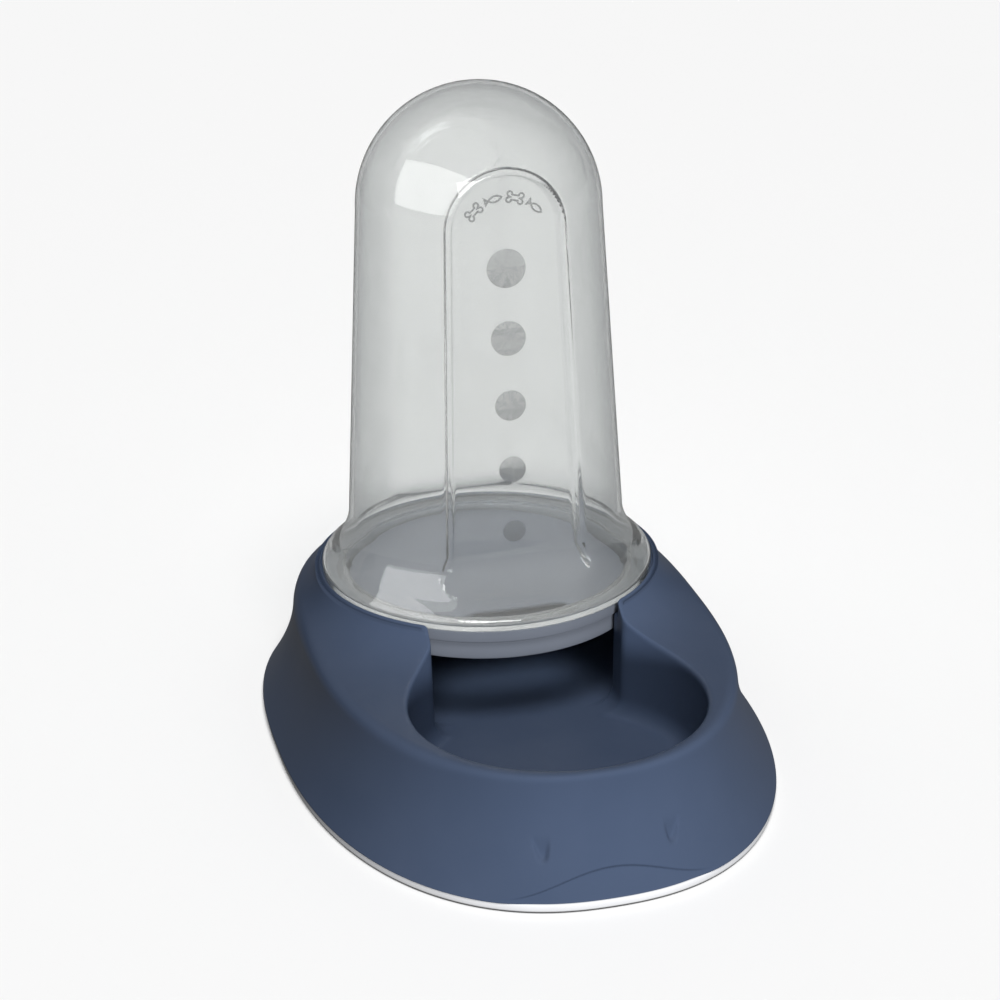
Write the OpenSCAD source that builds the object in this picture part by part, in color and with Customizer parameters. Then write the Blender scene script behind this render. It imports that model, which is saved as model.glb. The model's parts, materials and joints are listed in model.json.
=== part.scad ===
// Gravity pet feeder: a clear bell-shaped hopper, twist-locked into a funnel collar, which drops into
// the round seat of a base with a bowl in front. Z is up, the bowl faces -Y, and the base's footprint
// is centred on the origin. All lengths are in millimetres.

/* [Base] */
// Overall width of the base
base_w = 229; // [200:1:280]
// Overall length of the base, front to back
base_l = 328; // [300:1:380]
// Height of the base at the hopper seat
base_h = 72; // [66:0.5:90]
// Height of the deck around the bowl
deck_h = 54; // [46:0.5:60]
// Wall of the moulded base
base_wall = 2.6; // [2:0.1:3.4]
// How far the skirt spreads between the deck's edge and the floor
skirt_spread = 17; // [8:0.5:24]
// Distance of the hopper's axis behind the middle of the base
hopper_back = 50; // [40:1:60]

/* [Bowl] */
// Radius of the round bowl
bowl_r = 67; // [55:1:74]
// Distance from the hopper's axis to the bowl's middle
bowl_reach = 124; // [112:1:132]
// Half width of the opening between the seat and the bowl
throat_half_w = 47.5; // [36:0.5:52]
// Height of the bowl's floor above the table
bowl_floor_h = 15; // [12:0.5:22]

/* [Rim and feet] */
// Height of the rim band that shows under the skirt
rim_h = 3.6; // [3:0.2:6]
// Width of the rim's flat flange
rim_flange_w = 17; // [16:0.5:22]
// Thickness of the rim's plastic
rim_wall = 2; // [1.5:0.1:2.4]
// Radius of a rubber foot
foot_r = 6; // [4:0.5:7]
// Height by which the feet hold the rim off the table
foot_drop = 0.9; // [0.5:0.1:2]

/* [Hopper] */
// Overall height of the feeder
total_h = 306; // [270:1:370]
// Outer radius of the hopper's rolled edge
flange_r = 80; // [72:0.5:84]
// Outer radius of the domed top
dome_r = 57; // [47:0.5:62]
// Outer radius of the wall just above the flare
waist_r = 65.8; // [60:0.2:68]
// Wall of the hopper
hopper_wall = 2; // [1.4:0.1:2.8]
// Height of the rolled edge
flange_h = 3; // [2:0.2:4]
// Half width of the two flat panels at their arched tops
panel_half_w = 25.2; // [20:0.2:30]
// How far the panels' arched tops stand above the dome's centre
panel_rise = 27; // [24:0.5:32]

/* [Printed marks] */
// Radius of the top level mark
top_mark_r = 9; // [7:0.1:10]
// Radius of the bottom level mark
low_mark_r = 5.4; // [4:0.1:6.5]
// Distance from the dome's centre down to the top level mark
top_mark_drop = 16; // [10:0.5:20]
// Distance from the top level mark to the next one
mark_pitch = 32.6; // [24:0.2:33]
// Radius of the arc that the food outlines stand on
food_arc_r = 20.5; // [18:0.5:21]
// Width of a food outline's line
food_line_w = 0.8; // [0.6:0.1:1.2]
// Thickness of the printed marks
mark_t = 0.35; // [0.2:0.05:0.6]

/* [Collar] */
// Outer radius of the collar's upper band
band_r = 78.5; // [70:0.5:82.5]
// Height of the collar's upper band
band_h = 6.2; // [5:0.2:8]
// Height of the collar's lower ring
ring_h = 9.6; // [8.6:0.2:12]
// Wall of the collar's lower ring
collar_wall = 2; // [1.5:0.1:2.6]
// Slope of the collar's floor, down towards the outlet, in degrees
ramp_deg = 5; // [3:0.5:5.5]
// Thickness of the collar's floor
ramp_t = 2.2; // [1.6:0.1:2.6]
// Half width of the outlet slot between its round ends
outlet_half_w = 22; // [10:1:22]
// Radius of the outlet slot's round ends
outlet_r = 13; // [10:0.5:13]
// Distance of the outlet in front of the hopper's axis
outlet_fwd = 47; // [30:1:47]

/* [Fits] */
// Gap between the hopper's rolled edge and the base
seat_gap = 1; // [0.6:0.1:2]
// Gap between the collar's lower ring and the base
ring_gap = 0.5; // [0.3:0.1:1]
// Gap all round the hopper's neck and lugs inside the collar
twist_gap = 0.5; // [0.3:0.1:0.8]
// Gap under the collar's upper band, and under the hopper's rolled edge
rest_gap = 0.3; // [0.3:0.1:0.8]
// Gap round a foot's peg
peg_gap = 0.1; // [0.05:0.05:0.3]

/* [Hidden] */
eps = 0.01;

// Colours of the mouldings
navy = [0.20, 0.26, 0.38];
off_white = [0.93, 0.93, 0.92];
rubber_grey = [0.35, 0.36, 0.38];
collar_grey = [0.55, 0.57, 0.60];
clear_smoke = [0.82, 0.84, 0.84, 0.45];
mark_grey = [0.62, 0.65, 0.66];

// Plan outlines are ovals: a half width, a front and a back length from the widest point, and a
// squareness for each end, where 2 is a plain ellipse.
wide_y = 10;                 // where the base is widest
front_n = 2.3;
back_n = 2.6;
deck_front_n = 2.2;
ring_points = 72;            // points round each outline
skirt_steps = 6;             // outlines between the skirt's foot and the deck's edge
deck_steps = 10;             // outlines between the deck's edge and the seat
flare = 1.9;                 // how late the skirt spreads: 1 is a straight slope
seat_edge = 2;               // width of the base's edge round the seat
ramp_l = 15.5;               // how far out from the seat the deck's rise eases out
deck_front_rise = 3;         // how much higher the deck's front edge is than its sides
deck_back_rise = 6;          // and its back edge
deck_back_margin = 15;       // deck left behind the seat

skirt_z = foot_drop + rim_h;                 // underside of the skirt
seat_r = flange_r + seat_gap;                // bore that takes the hopper's rolled edge
band_step = 3;                               // how far the band stands out of the collar's lower ring
ring_r = band_r - band_step;
cavity_r = ring_r + ring_gap;                // chamber under the hopper
flange_z = base_h - flange_h;                // underside of the rolled edge, which sits on the collar
band_z = flange_z - rest_gap - band_h;       // underside of the collar's upper band
ledge_z = band_z - rest_gap;                 // ledge that carries the collar
collar_z = band_z - ring_h;                  // underside of the collar

function power(v, n) = sign(v) * pow(abs(v), 2 / n);
function oval(a, front, back, nf, nb, y0) = [for (i = [0 : ring_points - 1])
    let (t = 360 * i / ring_points, n = sin(t) > 0 ? nb : nf)
    [a * power(cos(t), n), y0 + (sin(t) > 0 ? back : front) * power(sin(t), n)]];
function lerp(a, b, w) = a + (b - a) * w;

// The base's foot outline drawn in by a margin, and the deck's edge drawn in by a margin
function foot_outline(m) = oval(base_w / 2 - m, base_l / 2 + wide_y - m, base_l / 2 - wide_y - m,
                                front_n, back_n, wide_y);
function deck_outline(m) = oval(base_w / 2 - skirt_spread - m, base_l / 2 + wide_y - skirt_spread - m,
                                hopper_back + seat_r + deck_back_margin - wide_y - m,
                                deck_front_n, back_n, wide_y);
function seat_outline(m) = [for (i = [0 : ring_points - 1])
    let (t = 360 * i / ring_points, r = seat_r + seat_edge - m) [r * cos(t), hopper_back + r * sin(t)]];

// Height of the deck's edge at a point of its outline
function deck_edge_z(p) = let (u = (p[1] - wide_y) / (base_l / 2))
    deck_h + (u < 0 ? deck_front_rise : deck_back_rise) * u * u;

// The deck climbs to the seat: straight where it is narrow, and easing out where it is wide
function mound(p, q, s) = let (far = exp(-norm(q - p) / ramp_l))
    (exp(-norm(q - p) * (1 - s) / ramp_l) - far) / (1 - far);
function skirt_ring(m, drop, w) = let (a = foot_outline(m), b = deck_outline(m))
    [for (i = [0 : ring_points - 1]) let (k = 1 - pow(1 - w, flare), p = lerp(a[i], b[i], k))
        [p[0], p[1], lerp(skirt_z - (w == 0 ? drop : 0), deck_edge_z(b[i]) - drop, w)]];
function deck_ring(m, drop, s) = let (a = deck_outline(m), b = seat_outline(m))
    [for (i = [0 : ring_points - 1]) let (p = lerp(a[i], b[i], s), z = deck_edge_z(a[i]))
        [p[0], p[1], lerp(z, base_h, mound(a[i], b[i], s)) - drop]];

// Skins a stack of outlines with triangles and closes both ends
module skin(rings) {
    n = len(rings[0]);
    m = len(rings);
    sides = [for (k = [0 : m - 2]) for (i = [0 : n - 1]) let (j = (i + 1) % n)
        each [[k * n + i, (k + 1) * n + j, k * n + j], [k * n + i, (k + 1) * n + i, (k + 1) * n + j]]];
    foot = [[for (i = [0 : n - 1]) i]];
    top = [[for (i = [n - 1 : -1 : 0]) (m - 1) * n + i]];
    polyhedron([for (r = rings) each r], concat(sides, foot, top));
}

// The base's outside, or its inside when a wall is given
module base_body(wall) {
    skin(concat([for (k = [0 : skirt_steps - 1]) skirt_ring(wall, wall, k / skirt_steps)],
                [for (k = [0 : deck_steps]) deck_ring(wall, wall, k / deck_steps)]));
}

// Plan of the bowl and its throat, grown by a margin
module bowl_plan(m) {
    translate([0, hopper_back]) hull() {
        translate([0, -bowl_reach]) circle(bowl_r + m, $fn = 72);
        translate([-throat_half_w - m, -cavity_r]) square([2 * (throat_half_w + m), cavity_r / 2]);
    }
}

module at_hopper(z = 0) translate([0, hopper_back, z]) children();

// Floor and walls of the bowl and of the round chamber behind it
module bowl_block() {
    floor_z = bowl_floor_h - base_wall;
    translate([0, 0, floor_z]) linear_extrude(base_h) bowl_plan(base_wall);
    at_hopper(floor_z) cylinder(r = cavity_r + base_wall, h = base_h, $fn = 120);
    at_hopper(ledge_z - base_wall) cylinder(r = seat_r + base_wall, h = base_h, $fn = 120);
}

module base_shell() {
    color(navy) difference() {
        union() {
            difference() {
                base_body(0);
                base_body(base_wall);
            }
            intersection() {
                base_body(0);
                bowl_block();
            }
        }
        translate([0, 0, bowl_floor_h]) linear_extrude(base_h) bowl_plan(0);
        at_hopper(bowl_floor_h) cylinder(r = cavity_r, h = base_h, $fn = 120);
        at_hopper(ledge_z) cylinder(r = seat_r, h = base_h, $fn = 120);
    }
}

// Feet stand under the rim's flange; each place is an angle round the foot outline
foot_inset = 10;
foot_peg_r = 2.2;
foot_peg_h = 3;                       // height of a peg above the rim's flange
foot_angles = [232, 308, 184, 356, 128, 52];
function foot_place(i) = let (o = foot_outline(foot_inset))
    o[round(foot_angles[i] / 360 * ring_points) % ring_points];

rim_inset = 0.5;                      // how far the rim stands in from the skirt's edge
tongue_gap = 5;                       // from the skirt's inside to the tongue inside it
tongue_h = 4;

module rim_slab(outer, inner, z, h) {
    translate([0, 0, z]) linear_extrude(h) difference() {
        polygon(foot_outline(outer));
        polygon(foot_outline(inner));
    }
}

module base_rim() {
    tongue_in = base_wall + tongue_gap;
    color(off_white) difference() {
        union() {
            rim_slab(rim_inset, rim_inset + rim_wall, foot_drop, rim_h);
            rim_slab(rim_inset, rim_flange_w, skirt_z - rim_wall, rim_wall);
            rim_slab(tongue_in, tongue_in + rim_wall, skirt_z - rim_wall, rim_wall + tongue_h);
        }
        for (i = [0 : len(foot_angles) - 1]) translate([foot_place(i)[0], foot_place(i)[1], 0])
            cylinder(r = foot_peg_r + peg_gap, h = skirt_z + foot_peg_h, $fn = 32);
    }
}

module foot(i) {
    color(rubber_grey) translate([foot_place(i)[0], foot_place(i)[1], 0]) {
        cylinder(r = foot_r, h = skirt_z - rim_wall, $fn = 48);
        cylinder(r = foot_peg_r, h = skirt_z + foot_peg_h, $fn = 32);
    }
}

// Twist lock: lugs on the hopper's neck sit under tabs in the collar, and leave them after a turn
lug_out = 2;                          // how far a lug stands out of the neck
neck_r = ring_r - collar_wall - 2 * twist_gap - lug_out;
lug_h = 2.6;
lug_deg = 28;
tab_deg = 34;
stop_deg = 4;
stop_play = 1.2;                      // angle left between a lug and its stop
lock_count = 3;
tab_h = 3;
lug_drop = 1;                         // from the band's underside down to the lugs
neck_end = 1.4;                       // neck left under the lugs
lug_z = band_z - lug_drop - lug_h;
tab_z = lug_z + lug_h + twist_gap;
neck_z = lug_z - neck_end;

// A piece of ring that spans an angle, centred on mid
module arc_block(r1, r2, z, h, mid, span) {
    translate([0, 0, z]) rotate([0, 0, mid - span / 2])
        rotate_extrude(angle = span, $fn = 120) translate([r1, 0]) square([r2 - r1, h]);
}

lock_start = 90;
function lock_mid(i) = lock_start + 360 / lock_count * i;

// Everything under the collar's sloping floor, lowered by a drop
module under_ramp(well_r, drop) {
    far = 2 * ring_r;
    translate([0, 0, collar_z + ramp_t + well_r * tan(ramp_deg) - drop]) rotate([ramp_deg, 0, 0])
        translate([-far, -far, -2 * far]) cube(2 * far);
}

// Inside of the collar round the hopper's neck, with the tabs and stops of the twist lock left in
module lock_bore(bore_r, shoulder_z) {
    stop_mid = -lug_deg / 2 - stop_play - stop_deg / 2;
    difference() {
        translate([0, 0, shoulder_z]) cylinder(r = bore_r, h = base_h, $fn = 120);
        for (i = [0 : lock_count - 1]) {
            arc_block(neck_r + twist_gap, bore_r + 1, tab_z, tab_h, lock_mid(i), tab_deg);
            arc_block(neck_r + 2 * twist_gap, bore_r + 1, shoulder_z - 1, tab_z + tab_h / 2 - shoulder_z,
                      lock_mid(i) + stop_mid, stop_deg);
        }
    }
}

module funnel_collar() {
    shoulder_z = neck_z - twist_gap;
    well_r = neck_r - hopper_wall - twist_gap;
    color(collar_grey) at_hopper() difference() {
        union() {
            difference() {
                union() {
                    translate([0, 0, band_z]) cylinder(r = band_r, h = band_h, $fn = 120);
                    translate([0, 0, collar_z]) cylinder(r = ring_r, h = ring_h + eps, $fn = 120);
                }
                lock_bore(neck_r + lug_out + twist_gap, shoulder_z);
            }
            intersection() {
                translate([0, 0, collar_z]) cylinder(r = well_r, h = base_h, $fn = 120);
                under_ramp(well_r, 0);
            }
        }
        intersection() {
            translate([0, 0, collar_z - 1]) cylinder(r = well_r - ramp_t, h = base_h, $fn = 120);
            under_ramp(well_r, ramp_t);
        }
        translate([0, -outlet_fwd, 0]) {
            for (side = [-1, 1]) translate([side * outlet_half_w, 0, 0])
                cylinder(r = outlet_r, h = base_h, $fn = 96);
            translate([-outlet_half_w, -outlet_r, 0]) cube([2 * outlet_half_w, 2 * outlet_r, base_h]);
        }
    }
}

// Hopper: the outside radius as a function of height, from the waist's flare up to the dome
dome_z = total_h - dome_r;
flare_h = 29;                         // height of the flare above the seat
roll_h = 8;                           // height of the edge's roll above the seat
roll_in = 6.4;                        // how far the roll draws in
roll_rise = 2.2;                      // height of the roll over the rounded edge
edge_round = 1.4;
flare_z = base_h + flare_h;
roll_z = base_h + roll_h;
roll_r = flange_r - roll_in;
flare_n = 7;
dome_n = 14;

// Points up the outside of the bell above its rolled edge, drawn in by a wall
function bell(w) = concat(
    [[flange_r - edge_round - w, base_h + edge_round + roll_rise - w / 2], [roll_r - w, roll_z - w / 2]],
    [for (k = [1 : flare_n]) let (u = k / flare_n)
        [roll_r - w - (roll_r - waist_r) * (1 - pow(1 - u, 2)), roll_z + (flare_z - roll_z) * u]],
    [for (k = [0 : dome_n]) let (a = 90 * k / dome_n) [(dome_r - w) * cos(a), dome_z + (dome_r - w) * sin(a)]]);

// The bell as a solid from a flat foot up; edge is the height of the rolled edge's side above the seat
module bell_body(w, foot, edge) {
    rotate_extrude($fn = 120)
        polygon(concat([[0, foot], [flange_r - w, foot], [flange_r - w, base_h + edge]], bell(w)));
}

// Flat panels, front and back: each leans in by a steady slope, widens downwards, and sweeps out
// with the bell at its foot
panel_top_z = dome_z + panel_rise;
arch_z = panel_top_z - panel_half_w;  // middle of the arch
panel_sink = 12;                      // depth of the panel's face inside the dome's radius
panel_lean = 0.052;
panel_spread = 0.032;                 // how fast each edge moves out, per millimetre down
panel_foot_out = 13;                  // how far the face sweeps out at its foot
panel_foot_w = 8;                     // and how far each edge does
panel_bend = 3;                       // the face starts to sweep out this far under the bell's flare
panel_edge = 4;                       // and is cut down to this far above the seat
panel_flare_z = flare_z - panel_bend;
panel_foot_z = base_h + panel_edge;
panel_steps = 8;
arch_steps = 24;
panel_over = 20;                      // how far the cut runs past the arch and the rolled edge
function panel_d(z) = dome_r - panel_sink + (panel_top_z - z) * panel_lean
    + (z < panel_flare_z ? pow((panel_flare_z - z) / (panel_flare_z - roll_z), 2.4) * panel_foot_out : 0);
function panel_w(z) = panel_half_w + (arch_z - z) * panel_spread
    + (z < panel_flare_z ? (panel_flare_z - z) / (panel_flare_z - panel_foot_z) * panel_foot_w : 0);

// What is cut off the bell outside a panel; w moves the cut inwards for the inside of the wall
module panel_cut(w) {
    top_z = panel_top_z + panel_over;
    far = flange_r + panel_over;
    face = concat([[panel_d(top_z) - w, top_z]],
                  [for (k = [0 : panel_steps]) let (z = lerp(panel_flare_z, panel_foot_z, k / panel_steps))
                      [panel_d(z) - w, z]]);
    arch = [for (k = [0 : arch_steps]) let (a = 180 * k / arch_steps)
        [(panel_half_w + w) * cos(a), arch_z + (panel_half_w + w) * sin(a)]];
    left = [for (z = [panel_flare_z, panel_foot_z]) [-panel_w(z) - w, z]];
    right = [for (z = [panel_foot_z, panel_flare_z]) [panel_w(z) + w, z]];
    for (turn = [0, 180]) rotate([0, 0, turn]) intersection() {
        rotate([90, 0, -90]) translate([0, 0, -far / 2]) linear_extrude(far)
            polygon(concat(face, [[far, panel_foot_z], [far, top_z]]));
        rotate([90, 0, 0]) linear_extrude(far) polygon(concat(arch, left, right));
    }
}

module hopper() {
    inner_z = flange_z + rest_gap + hopper_wall;
    color(clear_smoke) at_hopper() difference() {
        union() {
            difference() {
                bell_body(0, flange_z, edge_round);
                panel_cut(0);
            }
            translate([0, 0, neck_z]) cylinder(r = neck_r, h = base_h - neck_z, $fn = 120);
            for (i = [0 : lock_count - 1])
                arc_block(neck_r - 1, neck_r + lug_out, lug_z, lug_h, lock_mid(i), lug_deg);
        }
        difference() {
            bell_body(hopper_wall, inner_z, edge_round / 2);
            panel_cut(hopper_wall);
        }
        translate([0, 0, neck_z - eps])
            cylinder(r = neck_r - hopper_wall, h = inner_z - neck_z + 2 * eps, $fn = 120);
    }
}

// Printed marks on the front panel: dots that shrink downwards, and an arc of food outlines
mark_count = 5;
mark_closing = 0.42;                  // how much closer each dot stands than the one above
panel_tilt = atan(panel_lean);
food_arc_drop = 4;
food_arc_z = dome_z - food_arc_drop;  // middle of the outlines' arc
food_step = 28.6;                     // angle from one outline to the next
bone_l = 5.4;                         // between the knobs of a bone
bone_r = 1.55;
bone_open = 0.9;                      // how far apart a pair of knobs stands, in radii
fish_r = 4.6;
fish_open = 0.62;                     // how far apart the body's two arcs stand, in radii
fish_fwd = 0.9;
fish_tail = [[-1.9, 0], [-4.2, 2.3], [-4.2, -2.3]];

module on_panel(z) {
    at_hopper() translate([0, -panel_d(z), z]) rotate([90 - panel_tilt, 0, 0]) children();
}

module level_marks() {
    for (i = [0 : mark_count - 1])
        color(mark_grey) on_panel(dome_z - top_mark_drop - i * (mark_pitch - mark_closing * (i - 1)))
            cylinder(r = lerp(top_mark_r, low_mark_r, i / (mark_count - 1)), h = mark_t, $fn = 64);
}

module outline_of(line_w) difference() {
    children();
    offset(delta = -line_w) children();
}

module bone() {
    for (x = [-1, 1], y = [-1, 1]) translate([x * bone_l / 2, y * bone_r * bone_open])
        circle(bone_r, $fn = 24);
    square([bone_l, 2 * bone_r], center = true);
}

module fish() {
    intersection_for (side = [-1, 1]) translate([fish_fwd, side * fish_r * fish_open])
        circle(fish_r, $fn = 48);
    polygon(fish_tail);
}

module food_marks() {
    color(mark_grey) on_panel(food_arc_z) for (i = [0 : 3]) rotate([0, 0, (1.5 - i) * food_step])
        translate([0, food_arc_r]) linear_extrude(mark_t) outline_of(food_line_w)
            if (i % 2 == 0) bone(); else fish();
}

base_shell();
base_rim();
foot(0);  // foot_front_left
foot(1);  // foot_front_right
foot(2);  // foot_side_left
foot(3);  // foot_side_right
foot(4);  // foot_back_left
foot(5);  // foot_back_right
funnel_collar();
hopper();
level_marks();
food_marks();
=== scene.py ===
import json
import math
import bpy
import bmesh
import numpy as np
from mathutils import Matrix, Vector


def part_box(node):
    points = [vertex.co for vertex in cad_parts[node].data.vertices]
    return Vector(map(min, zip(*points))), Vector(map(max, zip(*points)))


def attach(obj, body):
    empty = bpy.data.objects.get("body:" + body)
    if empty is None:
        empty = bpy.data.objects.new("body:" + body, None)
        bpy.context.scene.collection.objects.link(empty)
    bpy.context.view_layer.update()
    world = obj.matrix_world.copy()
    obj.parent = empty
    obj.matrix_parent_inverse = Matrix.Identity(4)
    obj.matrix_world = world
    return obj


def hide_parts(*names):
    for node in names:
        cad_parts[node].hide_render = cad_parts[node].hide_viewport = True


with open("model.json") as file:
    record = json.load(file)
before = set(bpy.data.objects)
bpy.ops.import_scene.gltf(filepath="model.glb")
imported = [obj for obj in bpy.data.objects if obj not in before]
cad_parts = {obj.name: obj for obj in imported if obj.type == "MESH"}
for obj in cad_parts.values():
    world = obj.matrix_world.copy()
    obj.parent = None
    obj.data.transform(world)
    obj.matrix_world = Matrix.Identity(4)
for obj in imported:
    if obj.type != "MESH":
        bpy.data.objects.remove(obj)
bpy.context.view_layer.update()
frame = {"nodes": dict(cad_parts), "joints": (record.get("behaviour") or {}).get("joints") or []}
mm = 0.001  # lengths in the dictionaries below are millimetres, angles are degrees


def nodeBox(node):
    low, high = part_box(node)
    return low / mm, high / mm


# places that every piece shares, from the frame
axisY = next(j for j in frame["joints"] if j["name"] == "hopper_twist")["pos_m"][1] / mm
baseLow, baseHigh = nodeBox("base_shell")
rimLow, rimHigh = nodeBox("base_rim")
collarLow, collarHigh = nodeBox("funnel_collar")
hopperLow, hopperHigh = nodeBox("hopper")
seatZ = baseHigh.z
print("frame: hopper axis at", round(axisY, 1), "mm, seat at", round(seatZ, 1), "mm")


def smoothStep(t):
    t = np.clip(t, 0, 1)
    return t * t * (3 - 2 * t)


def lerp(a, b, t):
    return a + (b - a) * t


def bend(a, b, c, t):
    # a soft turn from a to c, pulled towards b
    return (1 - t) ** 2 * a + 2 * t * (1 - t) * b + t ** 2 * c


def addGrid(bm, rings, wrapRows=False, poleEnd=False, poleStart=False):
    # rings is rows x columns x 3 in millimetres; columns always run round and close
    rows, cols = len(rings), len(rings[0])
    verts = [[bm.verts.new([c * mm for c in p]) for p in ring] for ring in rings]
    for i in range(rows if wrapRows else rows - 1):
        a, b = verts[i], verts[(i + 1) % rows]
        for j in range(cols):
            k = (j + 1) % cols
            bm.faces.new((a[j], a[k], b[k], b[j]))
    for wanted, ring, row in ((poleEnd, rings[-1], verts[-1]), (poleStart, rings[0], verts[0][::-1])):
        if wanted:
            pole = bm.verts.new(np.mean(ring, axis=0) * mm)
            for j in range(cols):
                bm.faces.new((row[j], row[(j + 1) % cols], pole))
    return verts


def meshObject(name, bm, smooth=True, weld=1e-6):
    bmesh.ops.remove_doubles(bm, verts=bm.verts, dist=weld)
    bmesh.ops.dissolve_degenerate(bm, dist=weld, edges=bm.edges)
    bmesh.ops.recalc_face_normals(bm, faces=bm.faces)
    mesh = bpy.data.meshes.new(name)
    bm.to_mesh(mesh)
    bm.free()
    mesh.polygons.foreach_set("use_smooth", [smooth] * len(mesh.polygons))
    obj = bpy.data.objects.new(name, mesh)
    bpy.context.scene.collection.objects.link(obj)
    return obj


def gridObject(name, rings, **how):
    bm = bmesh.new()
    addGrid(bm, rings, **how)
    return meshObject(name, bm)


def roundedProfile(points, radius, steps=4):
    # an outline of (r, z) points with each inner corner rounded
    points = [np.asarray(p, float) for p in points]
    t = np.linspace(0, 1, steps)[:, None]
    out = [points[0]]
    for p, q, s in zip(points, points[1:], points[2:]):
        r = min(radius, 0.45 * np.linalg.norm(q - p), 0.45 * np.linalg.norm(s - q))
        a = q + (p - q) / np.linalg.norm(p - q) * r
        b = q + (s - q) / np.linalg.norm(s - q) * r
        out += list(bend(a, q, b, t))
    return out + [points[-1]]


def lathe(profile, cols):
    turn = np.radians(np.arange(cols) * 360 / cols)
    return [np.column_stack([r * np.cos(turn), r * np.sin(turn), np.full(cols, z)]) for r, z in profile]


def finishWith(obj, modifierType, name, **settings):
    mod = obj.modifiers.new(name, modifierType)
    for key, value in settings.items():
        setattr(mod, key, value)
    return mod


def bake(obj):
    # the evaluated object as a plain mesh of its own
    name = obj.name
    graph = bpy.context.evaluated_depsgraph_get()
    mesh = bpy.data.meshes.new_from_object(obj.evaluated_get(graph))
    obj.modifiers.clear()
    made = bpy.data.objects.new(name + "Made", mesh)
    bpy.context.scene.collection.objects.link(made)
    bpy.data.objects.remove(obj)
    made.name = name
    return made


def newGroup(name, inputs, outputs):
    group = bpy.data.node_groups.new(name, "ShaderNodeTree")
    for label, value in inputs:
        socket = group.interface.new_socket(label, in_out="INPUT", socket_type="NodeSocketFloat")
        socket.default_value = value
    for label, kind in outputs:
        group.interface.new_socket(label, in_out="OUTPUT", socket_type=kind)
    return group, group.nodes.new("NodeGroupInput"), group.nodes.new("NodeGroupOutput")


def mathNode(tree, operation, a, b):
    node = tree.nodes.new("ShaderNodeMath")
    node.operation = operation
    for i, value in enumerate((a, b)):
        if isinstance(value, (int, float)):
            node.inputs[i].default_value = value
        else:
            tree.links.new(value, node.inputs[i])
    return node.outputs[0]


def makeMouldGrain():
    # spark-eroded mould texture: a fine height, and a slow drift of tone across the wall
    group, start, end = newGroup("mouldGrain", [("Size", 0.5), ("Drift", 40)],
                                 [("Height", "NodeSocketFloat"), ("Tone", "NodeSocketFloat")])
    coords = group.nodes.new("ShaderNodeTexCoord")
    for label, key, detail, rough in (("Height", "Size", 3, 0.6), ("Tone", "Drift", 4, 0.55)):
        noise = group.nodes.new("ShaderNodeTexNoise")
        noise.inputs["Detail"].default_value = detail
        noise.inputs["Roughness"].default_value = rough
        scale = mathNode(group, "DIVIDE", 1 / mm, start.outputs[key])
        group.links.new(coords.outputs["Object"], noise.inputs["Vector"])
        group.links.new(scale, noise.inputs["Scale"])
        group.links.new(noise.outputs["Fac"], end.inputs[label])
    return group


def makeDust():
    # dust and fine scuffs: more where a face looks up, broken up by noise
    group, start, end = newGroup("shelfDust", [("Amount", 0.2), ("Patch", 18)], [("Mask", "NodeSocketFloat")])
    coords = group.nodes.new("ShaderNodeTexCoord")
    noise = group.nodes.new("ShaderNodeTexNoise")
    noise.inputs["Detail"].default_value = 8
    noise.inputs["Roughness"].default_value = 0.7
    group.links.new(coords.outputs["Object"], noise.inputs["Vector"])
    group.links.new(mathNode(group, "DIVIDE", 1 / mm, start.outputs["Patch"]), noise.inputs["Scale"])
    shape = group.nodes.new("ShaderNodeNewGeometry")
    split = group.nodes.new("ShaderNodeSeparateXYZ")
    group.links.new(shape.outputs["Normal"], split.inputs[0])
    up = mathNode(group, "MULTIPLY", mathNode(group, "MAXIMUM", split.outputs["Z"], 0.15), noise.outputs["Fac"])
    group.links.new(mathNode(group, "MULTIPLY", up, start.outputs["Amount"]), end.inputs["Mask"])
    return group


mouldGrain = makeMouldGrain()
shelfDust = makeDust()

# colour and deep are linear colours between which the tone drifts
finishes = {
    "navyPlastic": {"colour": (0.038, 0.054, 0.092), "deep": (0.034, 0.049, 0.084), "dust": 0.02,
                    "rough": (0.34, 0.42), "grain": 0.55, "bump": 0.06, "drift": 70, "shine": 0.22},
    "rimPlastic": {"colour": (0.50, 0.505, 0.52), "deep": (0.46, 0.465, 0.48), "dust": 0.03,
                   "rough": (0.42, 0.55), "grain": 0.5, "bump": 0.08, "drift": 40, "shine": 0.4},
    "footRubber": {"colour": (0.11, 0.115, 0.12), "deep": (0.07, 0.073, 0.078), "dust": 0.25,
                   "rough": (0.65, 0.85), "grain": 0.35, "bump": 0.25, "drift": 8, "shine": 0.3},
    "collarPlastic": {"colour": (0.108, 0.12, 0.145), "deep": (0.096, 0.107, 0.13), "dust": 0.05,
                      "rough": (0.34, 0.46), "grain": 0.5, "bump": 0.07, "drift": 45, "shine": 0.4},
    "markInk": {"colour": (0.30, 0.31, 0.315), "deep": (0.27, 0.28, 0.285), "dust": 0.02, "cover": 0.33,
                "rough": (0.5, 0.65), "grain": 0.25, "bump": 0.05, "drift": 6, "shine": 0.3},
    "markLine": {"colour": (0.28, 0.29, 0.295), "deep": (0.25, 0.26, 0.265), "dust": 0.02, "cover": 0.5,
                 "rough": (0.5, 0.65), "grain": 0.25, "bump": 0.05, "drift": 6, "shine": 0.3},
}
dustColour = (0.42, 0.41, 0.39)
grainDepth = 0.2


def mapRange(tree, value, low, high):
    node = tree.nodes.new("ShaderNodeMapRange")
    node.inputs["From Min"].default_value = 0.3
    node.inputs["From Max"].default_value = 0.7
    node.inputs["To Min"].default_value = low
    node.inputs["To Max"].default_value = high
    tree.links.new(value, node.inputs["Value"])
    return node.outputs["Result"]


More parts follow.
